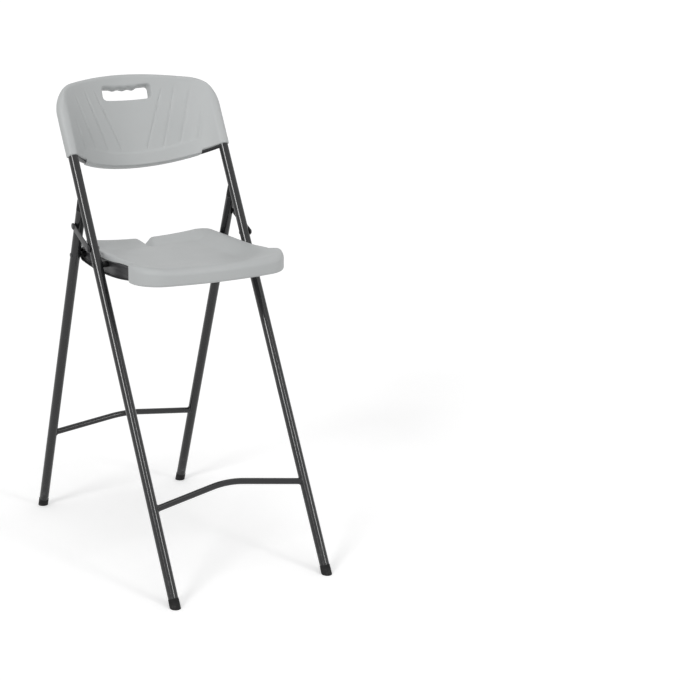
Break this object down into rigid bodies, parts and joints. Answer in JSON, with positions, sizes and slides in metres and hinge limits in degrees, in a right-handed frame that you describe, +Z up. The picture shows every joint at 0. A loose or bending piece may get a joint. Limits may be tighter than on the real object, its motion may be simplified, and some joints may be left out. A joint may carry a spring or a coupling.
{
  "type": "folding bar stool",
  "caption": "Bar-height folding stool: moulded seat and bowed backrest with a hand-hold slot, on a steel tube frame that folds flat.",
  "frame": {"origin": "on the floor, under the middle of the open stool's box", "axes": "+Z up, the front of the seat faces -Y, +X to the right of someone who looks at the stool from the front"},
  "size_m": [0.4662, 0.8612, 1.1954],
  "materials": {
    "frame_paint": "satin charcoal powder coat on steel tube",
    "rail_paint": "satin charcoal powder coat on pressed and flat steel",
    "rivet_steel": "darkened steel pivot pins, semi-gloss",
    "plated_steel": "plain zinc plate",
    "shell_plastic": "blow-moulded polyethylene with a fine grain, light grey, satin",
    "foot_plastic": "black moulded feet and plugs, dull",
    "bush_nylon": "black nylon"
  },
  "bodies": {
    "rear_frame": {"left_rear_leg": "frame_paint", "right_rear_leg": "frame_paint", "rear_stretcher": "frame_paint", "left_leg_top_plug": "foot_plastic", "right_leg_top_plug": "foot_plastic", "left_rear_foot_cap": "foot_plastic", "right_rear_foot_cap": "foot_plastic", "left_rear_pivot_rivet": "rivet_steel", "right_rear_pivot_rivet": "rivet_steel", "left_rear_pivot_bush": "bush_nylon", "right_rear_pivot_bush": "bush_nylon"},
    "seat": {"seat_shell": "shell_plastic", "left_seat_rail": "rail_paint", "right_seat_rail": "rail_paint", "front_seat_cross_bar": "rail_paint", "rear_seat_cross_bar": "rail_paint", "seat_screw_1": "plated_steel", "seat_screw_2": "plated_steel", "seat_screw_3": "plated_steel", "seat_screw_4": "plated_steel"},
    "front_frame": {"left_post": "frame_paint", "right_post": "frame_paint", "front_stretcher": "frame_paint", "backrest_crossbar": "frame_paint", "backrest_shell": "shell_plastic", "left_backrest_screw_1": "plated_steel", "left_backrest_screw_2": "plated_steel", "right_backrest_screw_1": "plated_steel", "right_backrest_screw_2": "plated_steel", "left_front_foot_cap": "foot_plastic", "right_front_foot_cap": "foot_plastic", "left_seat_pivot_rivet": "rivet_steel", "right_seat_pivot_rivet": "rivet_steel", "left_seat_pivot_bush": "bush_nylon", "right_seat_pivot_bush": "bush_nylon", "left_link_bolt": "rivet_steel", "right_link_bolt": "rivet_steel", "left_link_washer": "bush_nylon", "right_link_washer": "bush_nylon"},
    "left_link": {"left_link": "rail_paint", "left_link_rivet": "rivet_steel"},
    "right_link": {"right_link": "rail_paint", "right_link_rivet": "rivet_steel"}
  },
  "joints": [
    {"name": "seat_fold", "type": "hinge", "parent": "rear_frame", "child": "seat", "pos_m": [0, 0.1311, 0.76463], "axis": [-1, 0, 0], "range_deg": [0, 56]},
    {"name": "front_frame_fold", "type": "hinge", "parent": "seat", "child": "front_frame", "pos_m": [0, -0.00797, 0.76463], "axis": [1, 0, 0], "range_deg": [0, 102.5]},
    {"name": "left_link_swing", "type": "hinge", "parent": "front_frame", "child": "left_link", "pos_m": [-0.22765, 0.01259, 0.8033], "axis": [-1, 0, 0], "range_deg": [0, 122.2]},
    {"name": "right_link_swing", "type": "hinge", "parent": "front_frame", "child": "right_link", "pos_m": [0.22765, 0.01259, 0.8033], "axis": [-1, 0, 0], "range_deg": [0, 122.2]}
  ],
  "couplings": [
    {"joint": "front_frame_fold", "follows": "seat_fold", "ratio": 1.8257},
    {"joint": "left_link_swing", "follows": "seat_fold", "ratio": 2.1778},
    {"joint": "right_link_swing", "follows": "seat_fold", "ratio": 2.1778}
  ]
}
